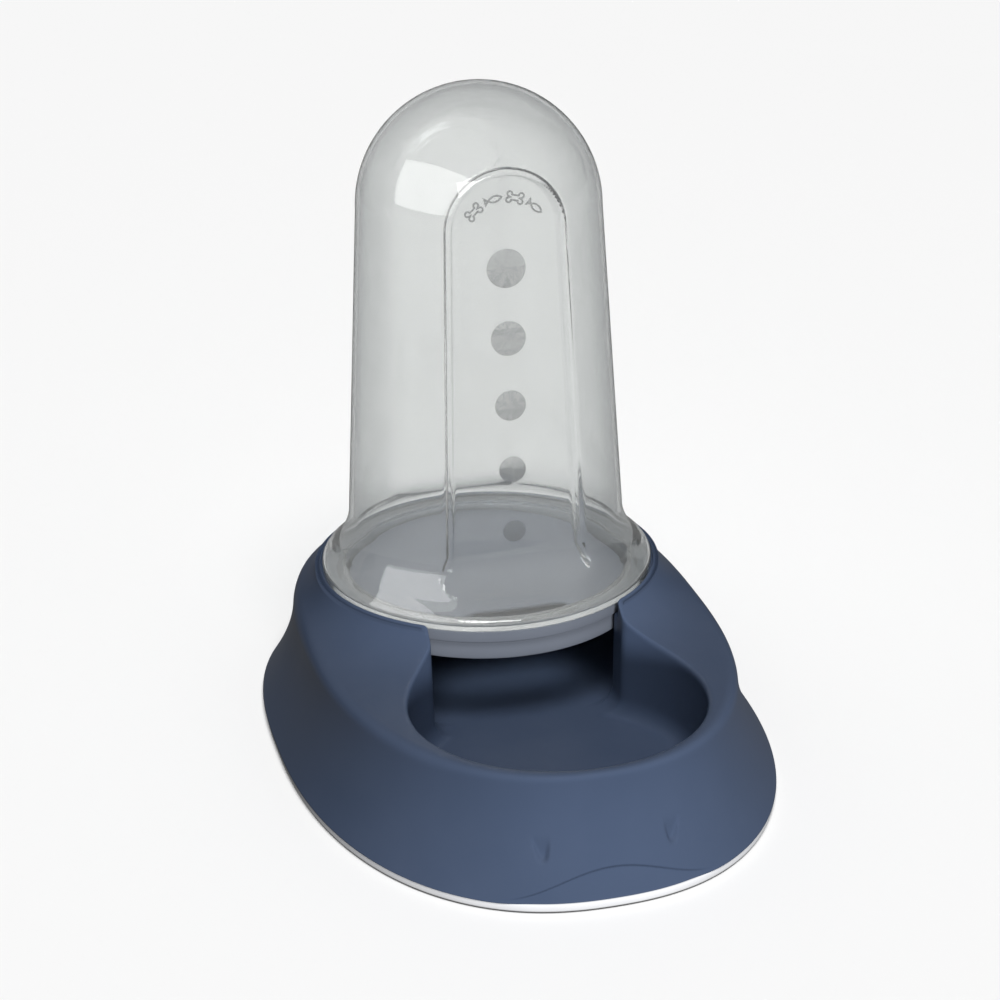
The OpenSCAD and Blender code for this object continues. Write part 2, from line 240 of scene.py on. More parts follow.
def mixColour(tree, factor, a, b):
    node = tree.nodes.new("ShaderNodeMix")
    node.data_type = "RGBA"
    tree.links.new(factor, node.inputs[0])
    for i, colour in ((6, a), (7, b)):
        if isinstance(colour, tuple):
            node.inputs[i].default_value = (*colour, 1)
        else:
            tree.links.new(colour, node.inputs[i])
    return node.outputs[2]


def placeGroup(tree, group, values):
    node = tree.nodes.new("ShaderNodeGroup")
    node.node_tree = group
    for key, value in values.items():
        node.inputs[key].default_value = value
    return node


def bumpFrom(tree, height, strength, distance):
    bump = tree.nodes.new("ShaderNodeBump")
    bump.inputs["Strength"].default_value = strength
    bump.inputs["Distance"].default_value = distance * mm
    tree.links.new(height, bump.inputs["Height"])
    return bump.outputs["Normal"]


def opaquePlastic(name):
    look = finishes[name]
    material = bpy.data.materials.new(name)
    material.use_nodes = True
    tree = material.node_tree
    shader = tree.nodes["Principled BSDF"]
    grain = placeGroup(tree, mouldGrain, {"Size": look["grain"], "Drift": look["drift"]})
    dust = placeGroup(tree, shelfDust, {"Amount": look["dust"]})
    body = mixColour(tree, mapRange(tree, grain.outputs["Tone"], 0, 1), look["deep"], look["colour"])
    dusty = mixColour(tree, dust.outputs["Mask"], body, dustColour)
    tree.links.new(dusty, shader.inputs["Base Color"])
    tree.links.new(mapRange(tree, grain.outputs["Tone"], *look["rough"]), shader.inputs["Roughness"])
    tree.links.new(bumpFrom(tree, grain.outputs["Height"], look["bump"], grainDepth), shader.inputs["Normal"])
    shader.inputs["Specular IOR Level"].default_value = look["shine"]
    shader.inputs["Alpha"].default_value = look.get("cover", 1)  # thin ink lets what is behind it show
    return material


clearLook = {
    "colour": (0.80, 0.81, 0.803), "smoky": (0.78, 0.79, 0.785), "drift": 50,
    "edge": (0.33, 0.35, 0.36), "edgeBlend": 0.5, "edgePower": 2,
    "rough": (0.015, 0.045), "ripple": 0.05, "rippleSize": 26, "rippleDepth": 0.6,
    "transmission": 0.955, "ior": 1.42, "lampTint": (0.86, 0.87, 0.87),
}


def clearPlastic():
    look = clearLook
    material = bpy.data.materials.new("clearPlastic")
    material.use_nodes = True
    tree = material.node_tree
    shader = tree.nodes["Principled BSDF"]
    grain = placeGroup(tree, mouldGrain, {"Size": look["rippleSize"], "Drift": look["drift"]})
    tint = mixColour(tree, mapRange(tree, grain.outputs["Tone"], 0, 1), look["smoky"], look["colour"])
    # the wall reads darker where it is seen edge on
    slant = tree.nodes.new("ShaderNodeLayerWeight")
    slant.inputs["Blend"].default_value = look["edgeBlend"]
    slanted = mathNode(tree, "POWER", slant.outputs["Facing"], look["edgePower"])
    tinted = mixColour(tree, slanted, tint, look["edge"])
    tree.links.new(tinted, shader.inputs["Base Color"])
    tree.links.new(mapRange(tree, grain.outputs["Tone"], *look["rough"]), shader.inputs["Roughness"])
    ripple = bumpFrom(tree, grain.outputs["Height"], look["ripple"], look["rippleDepth"])
    tree.links.new(ripple, shader.inputs["Normal"])
    shader.inputs["Transmission Weight"].default_value = look["transmission"]
    shader.inputs["IOR"].default_value = look["ior"]
    # lamps shine through the shell, so what stands inside it is lit
    lampPath = tree.nodes.new("ShaderNodeLightPath")
    through = tree.nodes.new("ShaderNodeBsdfTransparent")
    through.inputs["Color"].default_value = (*look["lampTint"], 1)
    mix = tree.nodes.new("ShaderNodeMixShader")
    tree.links.new(lampPath.outputs["Is Shadow Ray"], mix.inputs[0])
    tree.links.new(shader.outputs[0], mix.inputs[1])
    tree.links.new(through.outputs[0], mix.inputs[2])
    tree.links.new(mix.outputs[0], tree.nodes["Material Output"].inputs["Surface"])
    return material


materials = {name: opaquePlastic(name) for name in finishes}
materials["clearPlastic"] = clearPlastic()


def dress(obj, material):
    obj.data.materials.clear()
    obj.data.materials.append(materials[material])
    return obj


print("materials:", ", ".join(sorted(materials)))


def newTree(name, inputs):
    tree = bpy.data.node_groups.new(name, "GeometryNodeTree")
    tree.interface.new_socket("Geometry", in_out="INPUT", socket_type="NodeSocketGeometry")
    for label, kind in inputs:
        tree.interface.new_socket(label, in_out="INPUT", socket_type=kind)
    tree.interface.new_socket("Geometry", in_out="OUTPUT", socket_type="NodeSocketGeometry")
    return tree, tree.nodes.new("NodeGroupInput"), tree.nodes.new("NodeGroupOutput")


def closeTree(tree, start, end, geometry):
    real = tree.nodes.new("GeometryNodeRealizeInstances")
    paint = tree.nodes.new("GeometryNodeSetMaterial")
    tree.links.new(geometry, real.inputs[0])
    tree.links.new(real.outputs[0], paint.inputs[0])
    tree.links.new(start.outputs["Material"], paint.inputs["Material"])
    tree.links.new(paint.outputs[0], end.inputs[0])


def instanceNodes(tree, start, points):
    info = tree.nodes.new("GeometryNodeObjectInfo")
    place = tree.nodes.new("GeometryNodeInstanceOnPoints")
    tree.links.new(start.outputs["Piece"], info.inputs["Object"])
    tree.links.new(points, place.inputs["Points"])
    tree.links.new(info.outputs["Geometry"], place.inputs["Instance"])
    return place


def makeOnPoints():
    # one copy of the piece on each point of the carrier
    tree, start, end = newTree("onPoints", [("Piece", "NodeSocketObject"), ("Material", "NodeSocketMaterial")])
    place = instanceNodes(tree, start, start.outputs["Geometry"])
    closeTree(tree, start, end, place.outputs[0])
    return tree


def makeRoundAxis():
    # copies of the piece turned about the carrier's own axis
    tree, start, end = newTree("roundAxis", [("Piece", "NodeSocketObject"), ("Count", "NodeSocketInt"),
                                             ("Start Angle", "NodeSocketFloat"), ("Step Angle", "NodeSocketFloat"),
                                             ("Material", "NodeSocketMaterial")])
    line = tree.nodes.new("GeometryNodeMeshLine")
    line.inputs["Offset"].default_value = (0, 0, 0)
    tree.links.new(start.outputs["Count"], line.inputs["Count"])
    place = instanceNodes(tree, start, line.outputs[0])
    index = tree.nodes.new("GeometryNodeInputIndex")
    angle = mathNode(tree, "MULTIPLY", index.outputs[0], start.outputs["Step Angle"])
    turn = tree.nodes.new("ShaderNodeCombineXYZ")
    tree.links.new(mathNode(tree, "ADD", angle, start.outputs["Start Angle"]), turn.inputs["Z"])
    tree.links.new(turn.outputs[0], place.inputs["Rotation"])
    closeTree(tree, start, end, place.outputs[0])
    return tree


def makeShrinkingRow():
    # copies of the piece on the carrier's points, shrinking from the first to the last
    tree, start, end = newTree("shrinkingRow", [("Piece", "NodeSocketObject"), ("Last Size", "NodeSocketFloat"),
                                                ("Steps", "NodeSocketFloat"), ("Tilt", "NodeSocketFloat"),
                                                ("Material", "NodeSocketMaterial")])
    place = instanceNodes(tree, start, start.outputs["Geometry"])
    index = tree.nodes.new("GeometryNodeInputIndex")
    share = mathNode(tree, "DIVIDE", index.outputs[0], start.outputs["Steps"])
    drop = mathNode(tree, "MULTIPLY", share, mathNode(tree, "SUBTRACT", start.outputs["Last Size"], 1))
    size = tree.nodes.new("ShaderNodeCombineXYZ")
    width = mathNode(tree, "ADD", drop, 1)
    tree.links.new(width, size.inputs["X"])
    tree.links.new(width, size.inputs["Y"])
    size.inputs["Z"].default_value = 1
    tree.links.new(size.outputs[0], place.inputs["Scale"])
    turn = tree.nodes.new("ShaderNodeCombineXYZ")
    tree.links.new(start.outputs["Tilt"], turn.inputs["X"])
    tree.links.new(turn.outputs[0], place.inputs["Rotation"])
    closeTree(tree, start, end, place.outputs[0])
    return tree


def makePathSweep():
    # a profile swept along the carrier's own closed curve
    tree, start, end = newTree("pathSweep", [("Piece", "NodeSocketObject"), ("Material", "NodeSocketMaterial")])
    upright = tree.nodes.new("GeometryNodeSetCurveNormal")
    upright.mode = "Z_UP"
    sweep = tree.nodes.new("GeometryNodeCurveToMesh")
    info = tree.nodes.new("GeometryNodeObjectInfo")
    tree.links.new(start.outputs["Piece"], info.inputs["Object"])
    tree.links.new(start.outputs["Geometry"], upright.inputs["Curve"])
    tree.links.new(upright.outputs[0], sweep.inputs["Curve"])
    tree.links.new(info.outputs["Geometry"], sweep.inputs["Profile Curve"])
    closeTree(tree, start, end, sweep.outputs[0])
    return tree


def runTree(name, carrier, tree, values):
    # sets the inputs by their identifiers, then takes the result as a plain mesh
    mod = carrier.modifiers.new(tree.name, "NODES")
    mod.node_group = tree
    for item in tree.interface.items_tree:
        if item.in_out == "INPUT" and item.name in values:
            mod[item.identifier] = values[item.name]
    carrier.name = name
    made = bake(carrier)
    if "Piece" in values:
        bpy.data.objects.remove(values["Piece"])
    return made


def pointsObject(points):
    mesh = bpy.data.meshes.new("points")
    mesh.from_pydata([Vector(p) * mm for p in points], [], [])
    obj = bpy.data.objects.new("points", mesh)
    bpy.context.scene.collection.objects.link(obj)
    return obj


def polyCurve(name, points):
    curve = bpy.data.curves.new(name, "CURVE")
    curve.dimensions = "3D"
    spline = curve.splines.new("POLY")
    spline.points.add(len(points) - 1)
    for target, p in zip(spline.points, points):
        target.co = (p[0] * mm, p[1] * mm, (p[2] if len(p) > 2 else 0) * mm, 1)
    spline.use_cyclic_u = True
    obj = bpy.data.objects.new(name, curve)
    bpy.context.scene.collection.objects.link(obj)
    return obj


trees = {"onPoints": makeOnPoints(), "roundAxis": makeRoundAxis(),
         "shrinkingRow": makeShrinkingRow(), "pathSweep": makePathSweep()}
print("geometry node trees:", ", ".join(sorted(trees)))


# one moulding: skirt, deck, seat, bowl, throat and food chamber
baseShape = {
    "widestY": 10, "frontPower": 2.3, "backPower": 2.6, "deckFrontPower": 2.2,
    "skirtSpread": 17, "skirtFlare": 1.9, "deckHeight": 54, "frontRise": 3, "backRise": 6, "backMargin": 15,
    "seatRadius": 81, "rampLength": 15.5, "ledgeZ": 62.2, "cavityRadius": 76,
    "bowlRadius": 67, "bowlReach": 124, "throatHalfWidth": 45.8, "floorZ": 15,
    "creaseRound": 5.5, "lipRound": 3.2, "seatLipRound": 1.3, "floorRound": 10, "wall": 2.6,
    "footInset": 0.05, "joinBlend": 3, "ledgeUnderLip": 1.5, "ledgeWidth": 0.5, "ledgeSoft": 0.6, "draft": 0.8,
    "toeHeight": 11, "toeHalfWidth": 52, "toeFoot": 5.5, "toeDepth": 1.3, "toeStep": 1.1, "toeFade": 18,
    "dentX": 29, "dentZ": 25.5, "dentWidth": 4.6, "dentDrop": 5.8, "dentDepth": 2.2,
}
skirtRows = ((0, 0.28, 30), (0.28, 0.62, 22), (0.62, 1, 12))  # from, to and count up the skirt, closer at the toe
seeY = -15  # rays from this point on the middle line meet every outline of the base once


def oval(halfWidth, front, back, frontPower, backPower, middleY, count=2400):
    t = np.linspace(0, 2 * math.pi, count, endpoint=False)
    power = np.where(np.sin(t) > 0, backPower, frontPower)
    x = np.sign(np.cos(t)) * np.abs(np.cos(t)) ** (2 / power)
    y = np.sign(np.sin(t)) * np.abs(np.sin(t)) ** (2 / power)
    return np.column_stack([halfWidth * x, middleY + np.where(y > 0, back, front) * y])


def footOutline(inset, count=2400):
    s = baseShape
    return oval(baseHigh.x - inset, s["widestY"] - baseLow.y - inset, baseHigh.y - s["widestY"] - inset,
                s["frontPower"], s["backPower"], s["widestY"], count)


def deckOutline():
    s = baseShape
    inset = s["skirtSpread"]
    back = axisY + s["seatRadius"] + s["backMargin"] - s["widestY"]
    return oval(baseHigh.x - inset, s["widestY"] - baseLow.y - inset, back,
                s["deckFrontPower"], s["backPower"], s["widestY"])


def circleOutline(x, y, radius):
    t = np.linspace(0, 2 * math.pi, 2400, endpoint=False)
    return np.column_stack([x + radius * np.cos(t), y + radius * np.sin(t)])


def rayLength(outline, rays):
    # how far a ray from the seeing point runs to an outline, for each direction
    off = outline - [0, seeY]
    angle = np.arctan2(off[:, 1], off[:, 0])
    order = np.argsort(angle)
    return np.interp(rays, angle[order], np.hypot(off[:, 0], off[:, 1])[order], period=2 * math.pi)


def softMax(a, b, blend=1.6):
    # the longer of two lengths, eased where they cross
    root = np.sqrt((a - b) ** 2 + blend ** 2)
    return (a + b + root) / 2 - blend ** 2 / (4 * root)


def baseRays():
    # closer together round the seat's two corners and along the front of the skirt
    fine = [np.arange(0, 360, 1.5), np.arange(-10, 8, 0.5), np.arange(172, 190, 0.5), np.arange(246, 294, 0.36)]
    return np.radians(np.unique(np.round(np.concatenate(fine) % 360, 3)))


def atRays(rays, length, z):
    return np.column_stack([length * np.cos(rays), seeY + length * np.sin(rays), z * np.ones_like(rays)])


def deckHeightAt(rays, length, crease, edgeZ):
    # the deck climbs to the seat, straight where it is narrow and easing out where it is wide
    s = baseShape
    gap = lambda r: np.maximum(np.hypot(r * np.cos(rays), seeY + r * np.sin(rays) - axisY) - s["seatRadius"], 0)
    fall = lambda r: np.exp(-gap(r) / s["rampLength"])
    ramp = np.clip((fall(length) - fall(crease)) / (1 - fall(crease)), 0, 1)
    return lerp(edgeZ, seatZ, ramp), ramp


def skirtRelief(points):
    # a low toe arch at the foot of the front, and two small teardrop dents over it; how far in, per point
    s = baseShape
    x, y, z = points[:, 0], points[:, 1], points[:, 2]
    front = (y < seeY).astype(float)
    arch = s["toeFoot"] + s["toeHeight"] * np.cos(np.clip(x / s["toeHalfWidth"], -1, 1) * math.pi / 2) ** 2
    toe = s["toeDepth"] * smoothStep((arch - z) / s["toeStep"] + 0.5)
    toe = toe * smoothStep((s["toeHalfWidth"] - np.abs(x)) / s["toeFade"])
    # a drop with its point down: it narrows as it sinks, and is deepest over the point
    dz = (z - s["dentZ"]) / s["dentDrop"]
    narrow = s["dentWidth"] * np.sqrt(np.clip(0.5 + 0.5 * dz, 0.02, 1))
    dx = (np.abs(x) - s["dentX"]) / narrow
    body = smoothStep(1.6 * (1 - dx ** 2)) * smoothStep((dz + 1) * 3) * smoothStep((1.1 - dz) / 1.9)
    dent = s["dentDepth"] * body
    return front * (toe + dent)


def buildBaseShell():
    s = baseShape
    rays = baseRays()
    foot, crease = rayLength(footOutline(s["footInset"]), rays), rayLength(deckOutline(), rays)
    bowl = rayLength(circleOutline(0, axisY - s["bowlReach"], s["bowlRadius"]), rays)
    throat = np.where(np.sin(rays) > -0.4, s["throatHalfWidth"] / np.maximum(np.abs(np.cos(rays)), 0.5), 0)
    plan = softMax(bowl, throat, s["joinBlend"])
    lip = softMax(plan, rayLength(circleOutline(0, axisY, s["seatRadius"]), rays))
    low = softMax(plan, rayLength(circleOutline(0, axisY, s["cavityRadius"]), rays))
    along = (seeY + crease * np.sin(rays) - s["widestY"]) / (baseHigh.y)
    edgeZ = s["deckHeight"] + np.where(along < 0, s["frontRise"], s["backRise"]) * along ** 2
    creaseZ, _ = deckHeightAt(rays, crease, crease, edgeZ)
    lipZ, seatness = deckHeightAt(rays, lip, crease, edgeZ)
    band = crease - lip
    rings = []

    def skirtAt(w):
        k = 1 - (1 - w) ** s["skirtFlare"]
        return lerp(foot, crease, k), lerp(baseLow.z, creaseZ, w)

    def deckAt(inset):
        return crease - inset, deckHeightAt(rays, crease - inset, crease, edgeZ)[0]

    creaseIn = np.minimum(s["creaseRound"], 0.5 * band)
    lipIn = np.minimum(lerp(s["lipRound"], s["seatLipRound"], seatness), 0.4 * band)
    topW = 1 - creaseIn / (creaseZ - baseLow.z)
    for w in np.unique(np.concatenate([np.linspace(*part) for part in skirtRows])):
        r, z = skirtAt(topW * w)
        rings.append(atRays(rays, r - skirtRelief(atRays(rays, r, z)), z))
    r0, z0 = skirtAt(topW)
    r2, z2 = deckAt(creaseIn)
    for t in np.linspace(0, 1, 8)[1:]:
        rings.append(atRays(rays, bend(r0, crease, r2, t), bend(z0, creaseZ, z2, t)))
    for t in np.linspace(0, 1, 14)[1:]:
        r, z = deckAt(lerp(creaseIn, band - lipIn, t))
        rings.append(atRays(rays, r, z))
    r0, z0 = deckAt(band - lipIn)
    for t in np.linspace(0, 1, 6)[1:]:
        rings.append(atRays(rays, bend(r0, lip, lip, t), bend(z0, lipZ, lipZ - lipIn, t)))
    # the ledge under the collar, which fades out where the bowl has no seat
    ledgeZ = np.minimum(s["ledgeZ"], lipZ - lipIn - s["ledgeUnderLip"])
    step = np.minimum(s["ledgeWidth"], 0.5 * (lip - low))
    for r, rise in ((lip, s["ledgeSoft"]), (lip - step, 0.05), (low + step, -0.05), (low, -s["ledgeSoft"])):
        rings.append(atRays(rays, r, ledgeZ + rise))
    bottomZ = s["floorZ"] + s["floorRound"]
    for t in np.linspace(0, 1, 5)[1:]:
        rings.append(atRays(rays, low - s["draft"] * t, lerp(ledgeZ - s["ledgeSoft"], bottomZ, t)))
    for t in np.linspace(0, 1, 8)[1:]:
        a = t * math.pi / 2
        rings.append(atRays(rays, low - s["draft"] - s["floorRound"] * (1 - math.cos(a)),
                            bottomZ - s["floorRound"] * math.sin(a)))
    flat = low - s["draft"] - s["floorRound"]
    for t in np.linspace(0, 0.9, 7)[1:]:
        rings.append(atRays(rays, flat * (1 - t), s["floorZ"]))
    bm = bmesh.new()
    bm.faces.new(addGrid(bm, rings)[-1])
    shell = meshObject("baseShell", bm)
    finishWith(shell, "SOLIDIFY", "wall", thickness=s["wall"] * mm, offset=-1, use_rim=True, use_even_offset=False)
    return dress(bake(shell), "navyPlastic")


baseShell = buildBaseShell()
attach(baseShell, "base")
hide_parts("base_shell")
print("base shell:", len(baseShell.data.polygons), "faces")


rimShape = {"inset": 0.5, "wall": 2, "flangeWidth": 16.5, "tongueInset": 7.6, "round": 0.7, "points": 480}


def buildRim():
    s = rimShape
    low, top = rimLow.z, baseLow.z
    flange, wall = top - s["wall"], s["wall"]
    tongue = s["tongueInset"] - s["inset"]
    corners = [(0, low), (0, top), (tongue, top), (tongue, rimHigh.z), (tongue + wall, rimHigh.z),
               (tongue + wall, top), (s["flangeWidth"], top), (s["flangeWidth"], flange), (wall, flange), (wall, low)]
    looped = roundedProfile([corners[-1]] + corners + [corners[0]], s["round"], 3)[1:-1]
    profile = polyCurve("rimProfile", [(-a, -z) for a, z in looped])  # the sweep hangs its profile downwards
    path = polyCurve("rimPath", [(*p, 0) for p in footOutline(s["inset"], s["points"])])
    rim = runTree("baseRim", path, trees["pathSweep"], {"Piece": profile, "Material": materials["rimPlastic"]})
    rim.data.polygons.foreach_set("use_smooth", [True] * len(rim.data.polygons))
    return rim


baseRim = buildRim()
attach(baseRim, "base")
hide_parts("base_rim")
print("rim:", len(baseRim.data.polygons), "faces")


footShape = {"radius": 6, "round": 0.35, "pegRadius": 2.2, "pegTop": 7.5, "padTop": 1.6, "poleRadius": 0.3,
             "grooveRadius": 3.6, "grooveTop": 0.7, "grooveBottom": 0.4, "grooveDepth": 0.4}
footNodes = [n for n in frame["nodes"] if n.startswith("foot_")]


def buildFeet():
    s = footShape
    top = rimLow.z + s["padTop"]
    g, wide, narrow, d = s["grooveRadius"], s["grooveTop"], s["grooveBottom"], s["grooveDepth"]
    profile = roundedProfile([(s["poleRadius"], s["pegTop"]), (s["pegRadius"], s["pegTop"]), (s["pegRadius"], top),
                              (s["radius"], top), (s["radius"], 0), (g + wide, 0), (g + narrow, d),
                              (g - narrow, d), (g - wide, 0), (s["poleRadius"], 0)], s["round"], 3)
    foot = gridObject("footShape", lathe(profile, 48), poleStart=True, poleEnd=True)
    middles = [(nodeBox(n)[0] + nodeBox(n)[1]) / 2 for n in footNodes]
    places = pointsObject([(m.x, m.y, 0) for m in middles])
    return runTree("rubberFeet", places, trees["onPoints"], {"Piece": foot, "Material": materials["footRubber"]})


rubberFeet = buildFeet()
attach(rubberFeet, "base")
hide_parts(*footNodes)
print("feet:", len(footNodes))


collarShape = {
    "ringRadius": 75.5, "boreRadius": 73, "wellRadius": 68, "shoulderZ": 57, "bandHeight": 6.2,
    "rampAngle": 5, "rampWall": 2.2, "outletForward": 47, "outletHalfWidth": 22, "outletRadius": 13,
    "round": 0.7, "grooveDepth": 0.7, "grooveHeight": 0.9,
    "bandTaper": 0.9, "skirtTaper": 0.5, "columns": 288,
}
lockShape = {
    "count": 3, "start": 90, "softEdge": 0.35, "steps": 16,
    "tabInner": 71, "tabOuter": 73.6, "tabHeight": 3, "tabZ": 62, "tabSpan": 34,
    "lugInner": 69.5, "lugOuter": 72.5, "lugHeight": 2.6, "lugZ": 58.9, "lugSpan": 28,
}


def buildCollar():
    s = collarShape
    cols = s["columns"]
    turn = np.linspace(0, 2 * math.pi, cols, endpoint=False)
    fromY = axisY - s["outletForward"]
    dx, dy = np.cos(turn), np.sin(turn)

    def circleRay(radius):
        b = -s["outletForward"] * dy
        return -b + np.sqrt(b * b - s["outletForward"] ** 2 + radius ** 2)

    def slotRay(grow=0):
        # the outlet is a slot with round ends
        r, half = s["outletRadius"] + grow, s["outletHalfWidth"]
        flat = r / np.maximum(np.abs(dy), 1e-6)
        ends = half * np.abs(dx) + np.sqrt(np.maximum(r * r - (half * dy) ** 2, 0))
        return np.where(flat * np.abs(dx) <= half, flat, ends)

    def at(length, z):
        return np.column_stack([length * dx, fromY + length * dy, z * np.ones(cols)])

    def rampZ(length, drop=0):
        y = length * dy - s["outletForward"]
        slope = math.tan(math.radians(s["rampAngle"]))
        return collarLow.z + s["rampWall"] + (s["wellRadius"] + y) * slope - drop

    floorZ = lambda length: np.maximum(s["shoulderZ"], rampZ(length))
    well, soft = circleRay(s["wellRadius"]), s["round"]
    rings = [at(slotRay(), floorZ(slotRay()) - soft), at(slotRay(soft * 0.3), floorZ(slotRay()) - soft * 0.3),
             at(slotRay(soft), floorZ(slotRay(soft)))]
    for t in np.linspace(0, 1, 9)[1:]:
        r = lerp(slotRay(soft), well - soft, t)
        rings.append(at(r, floorZ(r)))
    wellTop = floorZ(well)
    rings.append(at(well - soft * 0.3, wellTop - soft * 0.15))
    rings.append(at(well, wellTop - np.minimum(soft, 0.5 * (wellTop - s["shoulderZ"]))))
    rings.append(at(well + 0.05, s["shoulderZ"]))
    bandZ, top, outer = collarHigh.z - s["bandHeight"], collarHigh.z, collarHigh.x
    g, ring, bore = s["grooveDepth"], s["ringRadius"], s["boreRadius"]
    grooveZ = bandZ - s["grooveHeight"]
    profile = roundedProfile([(s["wellRadius"] + 0.3, s["shoulderZ"]), (bore, s["shoulderZ"]), (bore, top),
                              (outer, top), (outer - s["bandTaper"], bandZ), (ring - g, bandZ),
                              (ring - g, grooveZ), (ring, grooveZ), (ring - s["skirtTaper"], collarLow.z),
                              (s["wellRadius"] - s["rampWall"], collarLow.z)], soft, 4)
    rings += [at(circleRay(r), z) for r, z in profile]
    under = circleRay(s["wellRadius"] - s["rampWall"])
    for t in np.linspace(0, 1, 6):
        r = lerp(under, slotRay(), t)
        rings.append(at(r, np.maximum(rampZ(r, s["rampWall"]), collarLow.z + 0.05)))
    return dress(gridObject("funnelCollar", rings, wrapRows=True), "collarPlastic")


def arcBlock(name, inner, outer, z, height, span):
    # a short piece of ring about the hopper's axis with soft edges, centred on +X
    turn = np.radians(np.linspace(-span / 2, span / 2, lockShape["steps"]))
    bm = bmesh.new()
    section = [(inner, z), (outer, z), (outer, z + height), (inner, z + height)]
    rows = [[bm.verts.new((r * math.cos(a) * mm, r * math.sin(a) * mm, h * mm)) for r, h in section] for a in turn]
    for a, b in zip(rows, rows[1:]):
        for j in range(4):
            bm.faces.new((a[j], a[(j + 1) % 4], b[(j + 1) % 4], b[j]))
    bm.faces.new(rows[0])
    bm.faces.new(rows[-1])
    block = meshObject(name, bm, smooth=False)
    finishWith(block, "BEVEL", "softEdge", width=lockShape["softEdge"] * mm, segments=2)
    return bake(block)


def lockRow(name, kind, material):
    # three tabs in the collar, or the three lugs on the neck that turn in under them
    s = lockShape
    block = arcBlock(kind, *(s[kind + size] for size in ("Inner", "Outer", "Z", "Height", "Span")))
    row = runTree(name, pointsObject([(0, 0, 0)]), trees["roundAxis"], {
        "Piece": block, "Count": s["count"], "Start Angle": math.radians(s["start"]),
        "Step Angle": 2 * math.pi / s["count"], "Material": materials[material]})
    row.data.transform(Matrix.Translation((0, axisY * mm, 0)))
    return row


funnelCollar = buildCollar()
collarTabs = lockRow("collarTabs", "tab", "collarPlastic")
hopperLugs = lockRow("hopperLugs", "lug", "clearPlastic")
for piece, body, slotName in ((funnelCollar, "collar", "collar_plastic"), (collarTabs, "collar", "collar_plastic"),
                              (hopperLugs, "hopper_bell", "clear_plastic")):
    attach(piece, body)
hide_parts("funnel_collar")
print("collar: floor slopes", collarShape["rampAngle"], "degrees,", lockShape["count"], "tabs and lugs")


# clear bell with flat front and back panels
hopperShape = {
    "wall": 2, "domeRadius": 57, "waistRadius": 65.8, "flareHeight": 29, "rollHeight": 8, "rollIn": 6.4,
    "edgeRound": 1.4, "edgeRise": 3.6, "neckRadius": 70.5, "neckWall": 2, "flangeUnder": 3, "floorOverFlange": 2.3,
    "panelRise": 27, "panelHalfWidth": 25.2, "panelSink": 12, "panelLean": 0.052, "panelSpread": 0.032,
    "panelFootOut": 13, "panelFootWidth": 8, "panelFootPower": 2.4, "panelStart": 4.5, "panelMargin": 1.3,
    "panelSoft": 1.7, "backSoft": 22, "backArchSoft": 9, "backFade": 40, "sideColumns": 34, "panelColumns": 74,
}


def bellProfile(w):
    # (r, z) up the bell over its rolled edge, drawn in by a wall
    s = hopperShape
    rollR, rollZ = hopperHigh.x - s["rollIn"], seatZ + s["rollHeight"]
    flareZ = seatZ + s["flareHeight"]
    domeZ = hopperHigh.z - s["domeRadius"]
    u = np.linspace(0, 1, 15)[1:]
    flare = [(rollR - w - (rollR - s["waistRadius"]) * (1 - (1 - v) ** 2), rollZ + (flareZ - rollZ) * v) for v in u]
    a = np.linspace(0, math.pi / 2, 60)
    dome = [((s["domeRadius"] - w) * math.cos(v), domeZ + (s["domeRadius"] - w) * math.sin(v)) for v in a]
    edge = [(hopperHigh.x - s["edgeRound"] - w, seatZ + s["edgeRise"] - w / 2), (rollR - w, rollZ - w / 2)]
    return np.array(edge + flare + dome)


def panelFace(z):
    # distance of the panel's face from the axis, and its half width, at a height
    s = hopperShape
    topZ = hopperHigh.z - s["domeRadius"] + s["panelRise"]
    archZ = topZ - s["panelHalfWidth"]
    flareZ, rollZ = seatZ + s["flareHeight"] - 3, seatZ + s["rollHeight"]
    below = np.maximum(flareZ - z, 0)
    depth = s["domeRadius"] - s["panelSink"] + (topZ - z) * s["panelLean"]
    depth = depth + (below / (flareZ - rollZ)) ** s["panelFootPower"] * s["panelFootOut"]
    width = s["panelHalfWidth"] + (archZ - z) * s["panelSpread"] + below / (flareZ - seatZ - 4) * s["panelFootWidth"]
    return depth, width, archZ


def hopperRing(r, z, w, panelled=True):
    s = hopperShape
    depth, width, archZ = panelFace(z)
    # the front and back columns reach past the panel's edge, but not right round the bell
    span = min(s["panelMargin"] * (width if z < archZ else s["panelHalfWidth"]), 0.8 * r)
    u = np.linspace(-1, 1, s["panelColumns"])
    x = span * u
    wallY = np.sqrt(r * r - x * x)
    front, back = wallY, wallY
    if panelled:
        edge = np.abs(x) - (width + w) if z < archZ else np.hypot(x, z - archZ) - (s["panelHalfWidth"] + w)
        flat = np.minimum(depth - w, wallY)
        backSoft = lerp(s["backArchSoft"], s["backSoft"], float(smoothStep((archZ + 6 - z) / s["backFade"])))
        front, back = (lerp(wallY, flat, smoothStep(0.5 - edge / soft)) for soft in (s["panelSoft"], backSoft))
    sideFrom = math.asin(span / r)
    side = np.linspace(sideFrom, math.pi - sideFrom, s["sideColumns"] + 2)[1:-1]
    right = np.column_stack([r * np.sin(side), -r * np.cos(side)])
    ring = np.vstack([np.column_stack([x, -front]), right, np.column_stack([-x, back]), -right])
    return np.column_stack([ring[:, 0], axisY + ring[:, 1], np.full(len(ring), z)])


